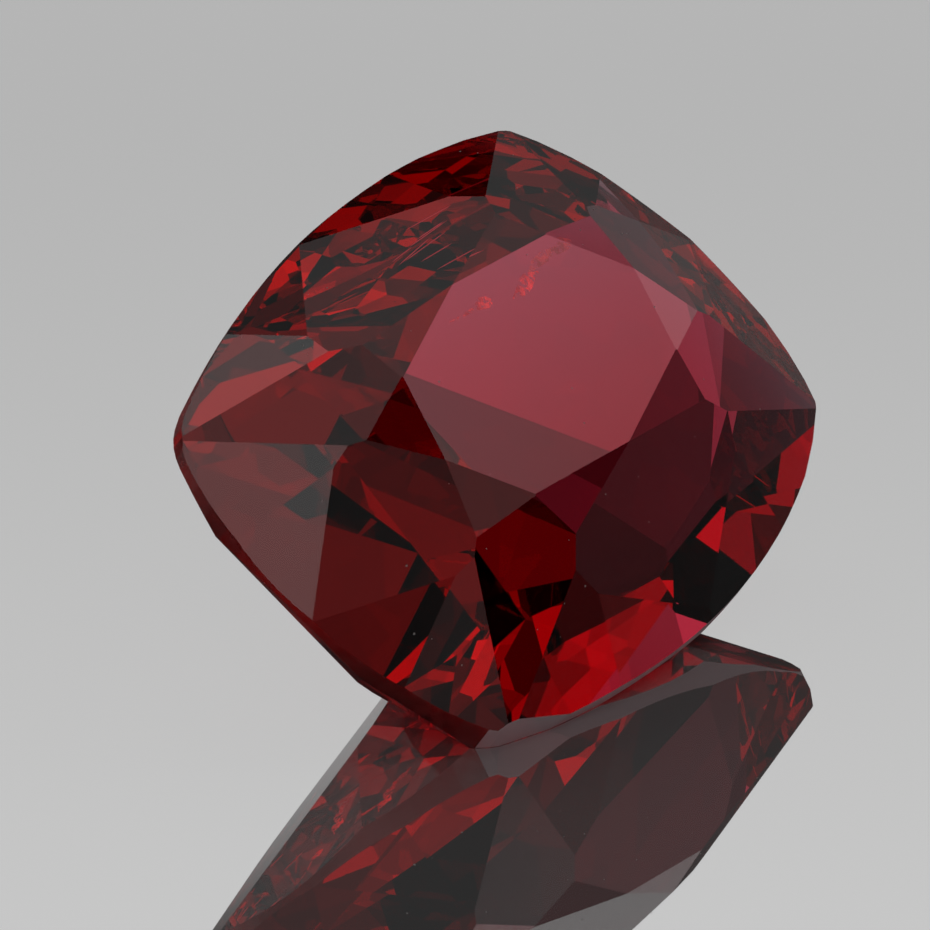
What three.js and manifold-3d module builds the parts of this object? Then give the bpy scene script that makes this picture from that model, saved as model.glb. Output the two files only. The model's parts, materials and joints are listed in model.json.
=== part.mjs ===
// A cut red spinel: a cushion shape with a flat table, a full crown and a faceted pavilion.
// It lies as it rests on a level surface, leaning back on one pavilion facet.
// Millimetres, +Z up, +X to the right and +Y away from the viewer.
// The origin is on the surface, under the middle of the stone's box.
import * as THREE from "three";
import { mergeVertices } from "three/addons/utils/BufferGeometryUtils.js";
import Module from "manifold-3d";

const wasm = await Module();
wasm.setup();

// The stone is cut in its own frame: X along its long side, Y along its short side, Z out of the table.
// Z = 0 is the upper edge of the girdle, the widest outline.
const CORNER = { x: 3.31, y: 2.2 };
const LONG_HALF = 3.9;
const SHORT_HALF = 2.735;
const SKEW = -0.071;
const SIDE_STEPS = 16;
const CORNER_STEPS = 4;

// How far each side bows out: the +Y, -X, -Y and +X sides' control points.
const BOWS = [[0.15, 3.3], [-4.46, 0], [0.68, -3.47], [4.69, 0]];

// Share of each side that the worn corners take, counted anticlockwise from the +X +Y corner.
const CORNER_WEAR = [0.17, 0.05, 0.05, 0.15];

// The girdle's band, and how far it leans towards +Y for each millimetre up.
const GIRDLE = 0.2;
const GIRDLE_LEAN = 0.09;

// Crown: half sizes of the table's points and of the points where its star facets end.
const CROWN_HEIGHT = 1.21;
const TABLE_LONG = 1.95;
const TABLE_SHORT = 1.17;
const TABLE_CORNER = { x: 1.465, y: 0.865 };
const STAR_LONG = { x: 2.375, y: 0.705, z: 0.974 };
const STAR_SHORT = { x: 1.325, y: 1.53, z: 0.99 };
const TABLE_SHIFT = { x: -0.253, y: 0.179 };

// How much higher the crown starts at the girdle's corners than along its sides.
const CORNER_RISE = 0.05;

// Pavilion: the side each facet faces, counted anticlockwise from +X, its slope from the girdle's
// plane, both in degrees, and its distance from the centre of the stone.
const REST = { faces: -108.2, slope: 43.6, distance: 2.225 };
const PAVILION_MAINS = [
  { faces: 0, slope: 41.7, distance: 2.87 },
  { faces: 90, slope: 41.7, distance: 2.11 },
  { faces: 180, slope: 47.3, distance: 2.915 },
  { faces: -90, slope: 48.8, distance: 2.425 },
];
const PAVILION_CORNERS = [
  { faces: 32, slope: 42.5, distance: 2.805 },
  { faces: 98, slope: 43.1, distance: 2.525 },
  { faces: -76, slope: 51, distance: 2.495 },
];
const CULET_FACETS = [
  { faces: 7, slope: 18.1, distance: 2.455 },
  { faces: 64, slope: 32.1, distance: 1.685 },
  { faces: 102, slope: 16.9, distance: 1.775 },
  { faces: 146, slope: 25.9, distance: 1.86 },
  { faces: -129, slope: 34.4, distance: 2.375 },
  { faces: -111, slope: 16.2, distance: 2.645 },
];

// Under the girdle each side has two break facets. Their slopes, for the sides in the order of BOWS.
const BREAK_SLOPES = [50.3, 48.5, 58.8, 44.1];

// A chip on the girdle at one corner. It leans over towards the crown.
const CHIP = { faces: -112, slope: 106, distance: 3 };

// How the stone is turned on the surface, in degrees.
const TURN = 65.1;

// Size of the blocks that cut the facets, larger than the stone.
const BLOCK = 20;

/** The crown is cut a little askew and off centre, more so towards the table. */
function onCrown(x, y, z) {
  const rise = z / CROWN_HEIGHT;
  return new THREE.Vector3(x + SKEW * y + TABLE_SHIFT.x * rise, y + TABLE_SHIFT.y * rise, z);
}

/** A flat facet through three points, facing away from the middle of the stone. */
function facetThrough(a, b, c) {
  const plane = new THREE.Plane().setFromCoplanarPoints(a, b, c);
  if (plane.constant > 0) plane.negate();
  return plane;
}

/** A facet given by the side it faces, its slope and its distance. It faces down up to a slope of 90. */
function facetAt({ faces, slope, distance }) {
  const round = THREE.MathUtils.degToRad(faces);
  const tilt = THREE.MathUtils.degToRad(slope);
  const out = Math.sin(tilt);
  const normal = new THREE.Vector3(out * Math.cos(round), out * Math.sin(round), -Math.cos(tilt));
  return new THREE.Plane(normal, -distance);
}

/** The girdle's four bowed sides, each as a row of points between its worn corners. */
function girdleSides() {
  const { x, y } = CORNER;
  const at = ([px, py]) => new THREE.Vector2(px + SKEW * py, py);
  const corners = [[x, y], [-x, y], [-x, -y], [x, -y]].map(at);
  const bows = BOWS.map(at);
  return corners.map((corner, i) => {
    const next = (i + 1) % corners.length;
    const curve = new THREE.QuadraticBezierCurve(corner, bows[i], corners[next]);
    const end = 1 - CORNER_WEAR[next];
    const row = [];
    for (let step = 0; step <= SIDE_STEPS; step += 1) {
      row.push(curve.getPoint(THREE.MathUtils.lerp(CORNER_WEAR[i], end, step / SIDE_STEPS)));
    }
    return { row, corner: corners[next] };
  });
}

/** The girdle's outline: the bowed sides, joined round the worn corners. */
function girdleOutline(sides) {
  const points = [];
  sides.forEach(({ row, corner }, i) => {
    const [start] = sides[(i + 1) % sides.length].row;
    const worn = new THREE.QuadraticBezierCurve(row.at(-1), corner, start);
    points.push(...row, ...worn.getPoints(CORNER_STEPS).slice(1, -1));
  });
  return points;
}

/** Two break facets under each side of the girdle. They start at its lower edge. */
function breakFacets(sides, outline) {
  const edge = outline.map(({ x, y }) => new THREE.Vector3(x, y - GIRDLE_LEAN * GIRDLE, -GIRDLE));
  return sides.flatMap(({ row }, i) => {
    const middle = row[SIDE_STEPS / 2];
    return [[row[0], middle], [middle, row.at(-1)]].map(([from, to]) => {
      const faces = THREE.MathUtils.radToDeg(Math.atan2(from.x - to.x, to.y - from.y));
      const { normal } = facetAt({ faces, slope: BREAK_SLOPES[i], distance: 0 });
      return new THREE.Plane(normal, -Math.max(...edge.map((point) => normal.dot(point))));
    });
  });
}

/** The facets of one quarter of the crown. The signs say which quarter. */
function crownQuarter(sx, sy) {
  const point = ({ x, y, z = CROWN_HEIGHT }) => onCrown(sx * x, sy * y, z);
  const long = point({ x: TABLE_LONG, y: 0 });
  const short = point({ x: 0, y: TABLE_SHORT });
  const corner = point(TABLE_CORNER);
  const starLong = point(STAR_LONG);
  const starShort = point(STAR_SHORT);
  const girdleLong = point({ x: LONG_HALF, y: 0, z: 0 });
  const girdleShort = point({ x: 0, y: SHORT_HALF, z: 0 });
  const girdleCorner = point({ ...CORNER, z: CORNER_RISE });
  const breakLong = point({ x: (3 * LONG_HALF + CORNER.x) / 4, y: CORNER.y / 2, z: 0 });
  const breakShort = point({ x: CORNER.x / 2, y: (3 * SHORT_HALF + CORNER.y) / 4, z: 0 });
  return [
    facetThrough(long, corner, starLong),
    facetThrough(short, corner, starShort),
    facetThrough(starLong, starShort, girdleCorner),
    facetThrough(starLong, girdleLong, breakLong),
    facetThrough(starLong, breakLong, girdleCorner),
    facetThrough(starShort, girdleShort, breakShort),
    facetThrough(starShort, breakShort, girdleCorner),
  ];
}

/** The four facets that slope from the table's side points down to the middle of each side. */
function crownSides() {
  const sides = [];
  for (const sign of [1, -1]) {
    const long = [onCrown(sign * TABLE_LONG, 0, CROWN_HEIGHT), onCrown(sign * LONG_HALF, 0, 0)];
    const short = [onCrown(0, sign * TABLE_SHORT, CROWN_HEIGHT), onCrown(0, sign * SHORT_HALF, 0)];
    sides.push(facetThrough(...long, onCrown(sign * LONG_HALF, 1, 0)));
    sides.push(facetThrough(...short, onCrown(1, sign * SHORT_HALF, 0)));
  }
  return sides;
}

/** Turns a geometry into a solid that can be cut. */
function toSolid(geometry) {
  const bare = geometry.index ? geometry.toNonIndexed() : geometry.clone();
  bare.deleteAttribute("normal");
  bare.deleteAttribute("uv");
  const merged = mergeVertices(bare);
  return new wasm.Manifold(new wasm.Mesh({
    numProp: 3,
    vertProperties: new Float32Array(merged.attributes.position.array),
    triVerts: new Uint32Array(merged.index.array),
  }));
}

/** Grinds one facet: takes away all that lies outside its plane. */
function grind(stone, plane) {
  const up = new THREE.Vector3(0, 0, 1);
  const foot = plane.coplanarPoint(new THREE.Vector3());
  const block = new THREE.BoxGeometry(BLOCK, BLOCK, BLOCK);
  block.translate(0, 0, BLOCK / 2);
  block.applyQuaternion(new THREE.Quaternion().setFromUnitVectors(up, plane.normal));
  block.translate(foot.x, foot.y, foot.z);
  return stone.subtract(toSolid(block));
}

const sides = girdleSides();
const outline = girdleOutline(sides);
const rough = new THREE.ExtrudeGeometry(new THREE.Shape(outline), {
  depth: BLOCK / 2,
  bevelEnabled: false,
});
rough.translate(0, 0, CROWN_HEIGHT - BLOCK / 2);
rough.applyMatrix4(new THREE.Matrix4().makeShear(0, 0, 0, 0, 0, GIRDLE_LEAN));
const restFacet = facetAt(REST);
const pavilion = [...PAVILION_MAINS, ...PAVILION_CORNERS, ...CULET_FACETS].map(facetAt);
const quarters = [[1, 1], [-1, 1], [-1, -1], [1, -1]];
const crown = quarters.flatMap(([sx, sy]) => crownQuarter(sx, sy)).concat(crownSides());
const facets = [...crown, ...breakFacets(sides, outline), restFacet, ...pavilion, facetAt(CHIP)];
const cut = facets.reduce(grind, toSolid(rough));

const stone = new THREE.BufferGeometry();
const { vertProperties, triVerts } = cut.getMesh();
stone.setAttribute("position", new THREE.BufferAttribute(new Float32Array(vertProperties), 3));
stone.setIndex(new THREE.BufferAttribute(new Uint32Array(triVerts), 1));

// Set the stone down on its resting facet and bring the middle of its box over the origin.
const down = new THREE.Vector3(0, 0, -1);
stone.applyQuaternion(new THREE.Quaternion().setFromUnitVectors(restFacet.normal, down));
stone.rotateZ(THREE.MathUtils.degToRad(TURN));
stone.computeBoundingBox();
const middle = stone.boundingBox.getCenter(new THREE.Vector3());
stone.translate(-middle.x, -middle.y, -stone.boundingBox.min.z);

const flat = stone.toNonIndexed();
flat.computeVertexNormals();

const crystal = new THREE.MeshStandardMaterial({
  color: 0x8c1230,
  roughness: 0.05,
  metalness: 0,
  transparent: true,
  opacity: 0.6,
});
const spinel = new THREE.Mesh(flat, crystal);
spinel.name = "spinel";

const part = new THREE.Group();
part.add(spinel);
export default part;
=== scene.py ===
"""Looks for the cut red spinel: the clear crystal, what lies inside it, and a plain studio."""
import math
import random

import bpy
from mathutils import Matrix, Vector
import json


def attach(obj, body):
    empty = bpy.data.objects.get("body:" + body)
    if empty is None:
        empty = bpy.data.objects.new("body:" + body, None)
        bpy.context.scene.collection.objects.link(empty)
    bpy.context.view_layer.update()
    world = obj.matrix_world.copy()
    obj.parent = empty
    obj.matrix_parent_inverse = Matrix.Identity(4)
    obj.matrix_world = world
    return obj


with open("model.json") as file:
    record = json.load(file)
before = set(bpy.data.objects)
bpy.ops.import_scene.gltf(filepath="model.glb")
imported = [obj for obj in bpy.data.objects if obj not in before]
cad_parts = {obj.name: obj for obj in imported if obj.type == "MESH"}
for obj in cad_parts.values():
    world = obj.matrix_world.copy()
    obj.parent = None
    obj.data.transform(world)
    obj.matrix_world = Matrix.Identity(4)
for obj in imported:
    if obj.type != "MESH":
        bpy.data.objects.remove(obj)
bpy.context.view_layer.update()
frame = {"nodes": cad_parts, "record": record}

MM = 0.001
WHITE = (1, 1, 1, 1)

# Directions as the viewer sees them.
RIGHT = (1, 0, 0)
BACK = (0, 1, 0)
UP = (0, 0, 1)

# The stone's own directions, from the middle of its table: out of the table, along its long side
# and across to its far side.
TABLE = next(mount for mount in frame["record"]["mounts"] if mount["name"] == "table")
MIDDLE = Vector(TABLE["pos_m"])
OUT = Vector(TABLE["axis"]).normalized()
ALONG = Vector((0.4834, 0.8486, 0.2149))
ACROSS = OUT.cross(ALONG).normalized()

# Camera: the spot it looks at, seen from the middle of the table, how steeply it looks down, how
# far away it stands, and how wide its view is at that spot. Its sensor is 36 millimetres wide.
AIM_FROM_TABLE = Vector((-0.752, 0.610, -1.299)) * MM
ELEVATION = math.radians(20)
DISTANCE = 122.9 * MM
VIEW_WIDTH = 9.30 * MM
SENSOR = 36
NEAREST = 1 * MM
FARTHEST = 10

# How often light may bounce on its way through the stone.
BOUNCES = 32

# Crystal: how strongly it bends light, and how it takes up light inside.
SPINEL_IOR = 1.718
BODY_COLOR = (0.975, 0.0, 0.26, 1)
BODY_DENSITY = 950

# The girdle and the chip stand almost square to the table. They are ground dull, not polished, with
# a fine grain between the least and the most roughness.
DULL_BELOW = 0.34
DULL_LEAST = 0.12
DULL_MOST = 0.34

# On the right the ground girdle has a pale skin, which is painted light: only that side is painted
# paler, as where light falls on it.
SKIN_PAINTED_LIGHT = 0.85
SKIN_PAINTED_LIGHT_COLOR = (0.92, 0.70, 0.74, 1)

# The facets that face this far away from the table are split into small ones, apart from one that
# stays plain. How many small ones there are to a metre and how far they lean. Each takes its lean
# from a random colour, and mid grey would be none.
UNDERSIDE = -0.7215
PLAIN_FACET = (-0.80, 0.17, -0.57)
SMALL_FACETS = 1700
SMALL_LEAN = 0.16
MID_GREY = (0.5, 0.5, 0.5)

# Fine needles under the far side of the crown. Each has two ends, measured in millimetres along and
# across from the middle of the table and down from its plane. Their radius is in millimetres too,
# and they have it between two shares of their length.
NEEDLES = [
    ((0.82, 1.79, 0.88), (1.42, 1.64, 0.76)),
    ((0.52, 1.64, 0.76), (1.15, 1.56, 0.69)),
    ((0.18, 1.58, 0.71), (0.77, 1.56, 0.68)),
    ((0.24, 1.28, 0.44), (0.79, 1.14, 0.34)),
    ((0.69, 1.64, 0.76), (1.11, 1.58, 0.70)),
    ((0.27, 1.57, 0.69), (0.93, 1.49, 0.62)),
    ((0.32, 1.45, 0.59), (0.76, 1.36, 0.51)),
    ((0.22, 1.65, 0.77), (0.55, 1.62, 0.74)),
]
NEEDLE_RADIUS = 0.008
NEEDLE_FULL = (0.2, 0.8)

# Healed cracks under the table: the points that each follows, measured like the needles' ends, and
# its half width there.
CRACKS = {
    "short_crack": [
        (-0.33, 0.93, 0.35, 0.006), (-0.15, 0.88, 0.35, 0.014), (0.07, 0.85, 0.36, 0.022),
        (0.19, 0.83, 0.35, 0.065), (0.27, 0.80, 0.34, 0.060), (0.33, 0.78, 0.35, 0.008),
    ],
    "long_crack": [
        (0.55, 0.65, 0.35, 0.006), (0.66, 0.65, 0.36, 0.040), (0.78, 0.66, 0.35, 0.085),
        (0.90, 0.67, 0.34, 0.080), (1.00, 0.67, 0.35, 0.040), (1.12, 0.65, 0.35, 0.006),
    ],
    "brown_crack": [
        (0.98, 0.72, 0.36, 0.006), (1.12, 0.74, 0.36, 0.045), (1.28, 0.73, 0.35, 0.060),
        (1.44, 0.70, 0.36, 0.045), (1.60, 0.67, 0.35, 0.055), (1.74, 0.60, 0.36, 0.006),
    ],
}

# How many steps a crack has from one of its points to the next, and how many rows across it. Its
# slant and its waves are shares of its half width.
CRACK_STEPS = 5
CRACK_ROWS = 4
CRACK_SLANT = 0.4
CRACK_WAVE = 0.3
CRACK_SEED = 7

# Dust: how many specks lie on the crown, how far out along and across it, and their sizes, all in
# millimetres. Their length and their height are shares of their size.
SPECKS = 40
SPECK_REACH = (3.2, 2.3)
SPECK_SIZE = (0.005, 0.012)
SPECK_LENGTH = (0.7, 1.5)
SPECK_HEIGHT = 0.7
SPECK_SEED = 4

# A speck drops on the stone from this many millimetres over the table, and stays there if the facet
# that it meets faces at least this far out of the table.
DROP = 5
CROWN_FACING = 0.5

# Studio: its soft panels. Each has its azimuth from the back towards the right, its elevation, half
# size and soft edge, all in degrees, and its brightness.
PANELS = [
    (30, 8, 6, 20, 0.09),
    (0, 20, 3, 1.8, 0.73),
    (180, 38, 8, 8, 0.68),
    (43, 18, 5, 6, 0.40),
    (20, 32, 6, 10, 0.09),
    (20, 46, 6, 10, 0.31),
    (140, 12, 7, 9, 0.15),
    (60, 32, 7, 9, 0.08),
    (108, 32, 7, 9, 0.22),
    (156, 32, 7, 9, 0.10),
    (65.5, 52, 7, 9, 0.55),
    (327.3, 52, 7, 9, 0.54),
    (30, 72, 7, 9, 0.35),
    (0, 52, 7, 9, 0.23),
    (20, 12, 7, 9, 0.11),
    (60, 12, 7, 9, 0.05),
    (340, 12, 7, 9, 0.05),
    (300, 32, 7, 9, 0.26),
    (0, 88, 6, 6, 0.30),
    (352, 41, 6, 6, 0.10),
]

# A low band of light on the left and behind the camera. Its brightness, the sines of its lowest and
# highest elevation, how softly it ends there, and the direction of its middle.
BAND = 0.3
BAND_LOW = 0.16
BAND_HIGH = 0.38
BAND_SOFT = 0.08
BAND_SIDE = (-0.94, -0.34, 0)

# Floor: its size in metres, how far it lies under the stone, how pale it is, how much of it is a
# mirror and how rough that is. Over the length of its fade the mirror darkens towards the back.
FLOOR_SIZE = 2
FLOOR_GAP = 0.004 * MM
FLOOR_TONE = 0.78
FLOOR_MIRROR = 0.78
FLOOR_GLOSS = 0.01
FLOOR_FADE = 36 * MM
FLOOR_BACK = 0.77

# The colour sockets of a Mix node: how much of each colour, the two colours, and what comes out.
MIX_SHARE, MIX_LOW, MIX_HIGH = 0, 6, 7
MIX_RESULT = 2


class Value:
    """An output in a node tree. Plain expressions on numbers add their Math nodes."""

    def __init__(self, shader, socket):
        self.shader = shader
        self.socket = socket

    def _math(self, operation, *items):
        return self.shader.node("ShaderNodeMath", dict(enumerate(items)), operation=operation)

    def __add__(self, other):
        return self._math("ADD", self, other)

    __radd__ = __add__

    def __sub__(self, other):
        return self._math("SUBTRACT", self, other)

    def __rsub__(self, other):
        return self._math("SUBTRACT", other, self)

    def __mul__(self, other):
        return self._math("MULTIPLY", self, other)

    __rmul__ = __mul__

    def size(self):
        """The number without its sign."""
        return self._math("ABSOLUTE", self)

    def above(self, edge, soft):
        """0 below the edge and 1 above it, with a soft step between."""
        sockets = {"Value": self, "From Min": edge - soft / 2, "From Max": edge + soft / 2}
        return self.shader.node("ShaderNodeMapRange", sockets, interpolation_type="SMOOTHSTEP")


class Shader:
    """A node tree being written."""

    def __init__(self, tree):
        self.tree = tree
        tree.nodes.clear()

    def node(self, kind, sockets=None, output=0, **settings):
        """Adds a node with its settings and its sockets' numbers or links. Returns one output."""
        made = self.tree.nodes.new(kind)
        for name, setting in settings.items():
            setattr(made, name, setting)
        for key, item in (sockets or {}).items():
            if isinstance(item, Value):
                self.tree.links.new(item.socket, made.inputs[key])
            else:
                made.inputs[key].default_value = item
        return Value(self, made.outputs[output]) if made.outputs else None

    def vector(self, operation, *items, output="Vector"):
        """Vector maths on directions."""
        sockets = dict(enumerate(items))
        return self.node("ShaderNodeVectorMath", sockets, output, operation=operation)

    def facing(self, direction, other):
        """How far a direction points the same way as another: 1 when the same, 0 when square."""
        return self.vector("DOT_PRODUCT", direction, other, output="Value")

    def scaled(self, direction, share):
        """A direction made longer or shorter."""
        sockets = {0: direction, "Scale": share}
        return self.node("ShaderNodeVectorMath", sockets, "Vector", operation="SCALE")

    def place(self):
        """Where a point of the surface is on its object."""
        return self.node("ShaderNodeTexCoord", output="Object")

    def mottle(self, scale, detail):
        """Cloudy noise that is fixed to the object."""
        sockets = {"Vector": self.place(), "Scale": scale, "Detail": detail}
        return self.node("ShaderNodeTexNoise", sockets, "Fac")

    def mix(self, share, low, high):
        """A colour between two others."""
        sockets = {MIX_SHARE: share, MIX_LOW: low, MIX_HIGH: high}
        return self.node("ShaderNodeMix", sockets, MIX_RESULT, data_type="RGBA")

    def blend(self, share, first, second):
        """A surface between two others."""
        return self.node("ShaderNodeMixShader", {0: share, 1: first, 2: second})


def new_material(name):
    material = bpy.data.materials.new(name)
    material.use_nodes = True
    return material, Shader(material.node_tree)


def solid_material(name, sockets):
    """A material with one even surface."""
    material, shader = new_material(name)
    surface = shader.node("ShaderNodeBsdfPrincipled", sockets)
    shader.node("ShaderNodeOutputMaterial", {"Surface": surface})
    return material


def small_facets(shader, normal, facing):
    """The normal, which leans a little its own way on each small facet of the underside."""
    sockets = {"Vector": shader.place(), "Scale": SMALL_FACETS}
    cells = shader.node("ShaderNodeTexVoronoi", sockets, "Color")
    lean = shader.vector("SUBTRACT", cells, MID_GREY)
    plain = shader.facing(normal, PLAIN_FACET).above(edge=0.97, soft=0.02)
    split = (1 - facing.above(UNDERSIDE, soft=0.004)) * (1 - plain)
    lean = shader.scaled(lean, split * SMALL_LEAN)
    return shader.vector("NORMALIZE", shader.vector("ADD", normal, lean))


def spinel_material():
    """Clear red crystal with polished facets.

    Its girdle and its chip are ground dull with a fine grain, and the girdle's right side alone is
    painted pale, a painted light as if lit. Its underside has small facets that each lean a little
    their own way.
    """
    material, shader = new_material("spinel crystal")
    normal = shader.node("ShaderNodeNewGeometry", output="True Normal")
    facing = shader.facing(normal, TABLE["axis"])
    ground = 1 - facing.size().above(DULL_BELOW, soft=0.02)
    grain = shader.mottle(scale=9000, detail=4)
    crystal = shader.node("ShaderNodeBsdfPrincipled", {
        "Base Color": WHITE,
        "Roughness": ground * (DULL_LEAST + (DULL_MOST - DULL_LEAST) * grain),
        "IOR": SPINEL_IOR,
        "Transmission Weight": 1,
        "Normal": small_facets(shader, normal, facing),
    })
    # Painted light: the ground girdle's right-facing side is mixed with a pale diffuse colour, as
    # if that side were lit.
    skin_painted_light = shader.node("ShaderNodeBsdfPrincipled", {"Base Color": SKIN_PAINTED_LIGHT_COLOR, "Roughness": 0.6})
    pale = ground * shader.facing(normal, RIGHT).above(edge=0, soft=0.2) * SKIN_PAINTED_LIGHT
    body = shader.node("ShaderNodeVolumeAbsorption", {"Color": BODY_COLOR, "Density": BODY_DENSITY})
    surface = shader.blend(pale, crystal, skin_painted_light)
    shader.node("ShaderNodeOutputMaterial", {"Surface": surface, "Volume": body})
    return material


# The needles glow a little in red: painted light, they are no lamp.
def needle_material():
    return solid_material("red needles", {
        "Base Color": (0.85, 0.14, 0.18, 1),
        "Roughness": 0.3,
        "Emission Color": (1.0, 0.07, 0.10, 1),
        "Emission Strength": 0.2,
    })


def crack_material(name, pale, deep, painted_glow):
    """A healed crack: a broken film that glints, in two mottled tones, with gaps in it, and painted
    light in the same tones, as if it shone.
    """
    material, shader = new_material(name)
    tone = shader.mix(shader.mottle(scale=7000, detail=3).above(edge=0.5, soft=0.2), deep, pale)
    film = shader.mottle(scale=15000, detail=5).above(edge=0.46, soft=0.14)
    # Painted light: the crack's emission in its own tones makes it glow, though it is no lamp.
    surface = shader.node("ShaderNodeBsdfPrincipled", {
        "Base Color": tone,
        "Roughness": 0.3,
        "Alpha": 0.85 * film,
        "Emission Color": tone,
        "Emission Strength": painted_glow,
    })
    shader.node("ShaderNodeOutputMaterial", {"Surface": surface})
    return material


def dust_material():
    return solid_material("pale dust", {"Base Color": (0.80, 0.76, 0.74, 1), "Roughness": 0.8})


def floor_material():
    """Pale and polished, a little darker towards the back."""
    material, shader = new_material("pale polished surface")
    tone = (FLOOR_TONE, FLOOR_TONE, FLOOR_TONE, 1)
    pale = shader.node("ShaderNodeBsdfDiffuse", {"Color": tone})
    back = shader.facing(shader.place(), BACK).above(edge=0, soft=FLOOR_FADE)
    shade = shader.mix(back, WHITE, (FLOOR_BACK, FLOOR_BACK, FLOOR_BACK, 1))
    gloss = shader.node("ShaderNodeBsdfAnisotropic", {"Color": shade, "Roughness": FLOOR_GLOSS})
    surface = shader.blend(FLOOR_MIRROR, pale, gloss)
    shader.node("ShaderNodeOutputMaterial", {"Surface": surface})
    return material


def inside(along, across, deep):
    """A point in the stone, in millimetres from the middle of the table and down from its plane."""
    return MIDDLE + (ALONG * along + ACROSS * across - OUT * deep) * MM


def add_piece(name, points, faces, material):
    mesh = bpy.data.meshes.new(name)
    mesh.from_pydata([tuple(point) for point in points], [], faces)
    mesh.materials.append(material)
    piece = bpy.data.objects.new(name, mesh)
    bpy.context.scene.collection.objects.link(piece)
    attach(piece, "root")


def neighbours(first, count):
    """Each pair of neighbours round a ring of points, by their numbers."""
    return [(first + i, first + (i + 1) % count) for i in range(count)]


def needles():
    """All the needles as one piece. Each is a thin four-sided rod that narrows to its ends."""
    points, faces = [], []
    for start, end in NEEDLES:
        tail, tip = inside(*start), inside(*end)
        side = (tip - tail).cross(OUT).normalized()
        edges = (side, OUT, -side, -OUT)
        wide = len(edges)
        first = len(points)
        points.append(tail)
        for share in NEEDLE_FULL:
            middle = tail.lerp(tip, share)
            points += [middle + edge * NEEDLE_RADIUS * MM for edge in edges]
        last = len(points)
        points.append(tip)
        for a, b in neighbours(first + 1, wide):
            faces += [(first, b, a), (a, b, b + wide, a + wide), (last, a + wide, b + wide)]
    add_piece("needles", points, faces, needle_material())


def cracks():
    """Each healed crack as a thin, slightly wavy strip that follows its points."""
    red = crack_material(
        "red healed crack", pale=(0.95, 0.07, 0.08, 1), deep=(0.55, 0.02, 0.04, 1), painted_glow=0.45,
    )
    brown = crack_material(
        "brown healed crack", pale=(0.50, 0.06, 0.07, 1), deep=(0.30, 0.04, 0.05, 1), painted_glow=0.6,
    )
    draw = random.Random(CRACK_SEED)
    wide = CRACK_ROWS + 1
    for name, stops in CRACKS.items():
        points = []
        for here, there in zip(stops, stops[1:]):
            for step in range(CRACK_STEPS):
                share = step / CRACK_STEPS
                along, across, deep, half = [a + (b - a) * share for a, b in zip(here, there)]
                for row in range(wide):
                    side = half * (2 * row / CRACK_ROWS - 1)
                    wave = draw.uniform(-CRACK_WAVE, CRACK_WAVE) * half
                    points.append(inside(along + CRACK_SLANT * side, across + side, deep + wave))
        faces = []
        for i in range(len(points) // wide - 1):
            for j in range(CRACK_ROWS):
                a = i * wide + j
                faces.append((a, a + 1, a + wide + 1, a + wide))
        add_piece(name, points, faces, brown if name == "brown_crack" else red)


def dust(stone):
    """Specks on the crown, each a tiny six-cornered grain that lies on the facet under it."""
    draw = random.Random(SPECK_SEED)
    points, faces = [], []
    placed = 0
    while placed < SPECKS:
        along, across = [draw.uniform(-1, 1) * reach for reach in SPECK_REACH]
        size = draw.uniform(*SPECK_SIZE) * MM
        length = draw.uniform(*SPECK_LENGTH)
        start = inside(along, across, 0) + OUT * DROP * MM
        hit, spot, normal, _ = stone.ray_cast(start, -OUT)
        if not hit or normal.dot(OUT) < CROWN_FACING:
            continue
        placed += 1
        side = normal.orthogonal().normalized()
        other = normal.cross(side)
        ring = (side * length, other, -side * length, -other)
        caps = (normal * SPECK_HEIGHT, -normal * SPECK_HEIGHT)
        first = len(points)
        points += [spot + corner * size for corner in ring + caps]
        top = first + len(ring)
        for a, b in neighbours(first, len(ring)):
            faces += [(a, b, top), (b, a, top + 1)]
    add_piece("dust", points, faces, dust_material())


def floor():
    bpy.ops.mesh.primitive_plane_add(size=FLOOR_SIZE, location=(0, 0, -FLOOR_GAP))
    plane = bpy.context.object
    plane.name = "floor"
    plane.data.materials.append(floor_material())


def panel(shader, where, azimuth, elevation, size, soft):
    """A round panel of light: 1 on it and 0 beside it."""
    around, up = math.radians(azimuth), math.radians(elevation)
    toward = (math.sin(around) * math.cos(up), math.cos(around) * math.cos(up), math.sin(up))
    inner = math.cos(math.radians(size))
    outer = math.cos(math.radians(size + soft))
    return shader.facing(where, toward).above((inner + outer) / 2, inner - outer)


def studio():
    """A dark room with soft panels round the stone and a low band of light."""
    world = bpy.data.worlds.new("studio")
    world.use_nodes = True
    shader = Shader(world.node_tree)
    where = shader.node("ShaderNodeTexCoord", output="Generated")
    level = sum(strength * panel(shader, where, *shape) for *shape, strength in PANELS)
    high = shader.facing(where, UP)
    band = high.above(BAND_LOW, BAND_SOFT) * (1 - high.above(BAND_HIGH, BAND_SOFT))
    level += BAND * band * shader.facing(where, BAND_SIDE).above(edge=0.3, soft=0.2)
    light = shader.node("ShaderNodeBackground", {"Strength": level, "Color": WHITE})
    shader.node("ShaderNodeOutputWorld", {"Surface": light})
    bpy.context.scene.world = world


def camera():
    lens = bpy.data.cameras.new("camera")
    lens.sensor_width = SENSOR
    lens.lens = SENSOR * DISTANCE / VIEW_WIDTH
    lens.clip_start = NEAREST
    lens.clip_end = FARTHEST
    view = bpy.data.objects.new("camera", lens)
    to_viewer = Vector((0, -math.cos(ELEVATION), math.sin(ELEVATION)))
    view.location = MIDDLE + AIM_FROM_TABLE + to_viewer * DISTANCE
    view.rotation_euler = (-to_viewer).to_track_quat("-Z", "Y").to_euler()
    bpy.context.scene.collection.objects.link(view)
    bpy.context.scene.camera = view


def rendering():
    scene = bpy.context.scene
    scene.view_settings.view_transform = "Standard"
    scene.cycles.max_bounces = BOUNCES
    scene.cycles.transmission_bounces = BOUNCES
    scene.cycles.glossy_bounces = BOUNCES


stone = frame["nodes"]["spinel"]
stone.data.materials.clear()
stone.data.materials.append(spinel_material())
needles()
cracks()
dust(stone)
floor()
studio()
camera()
rendering()
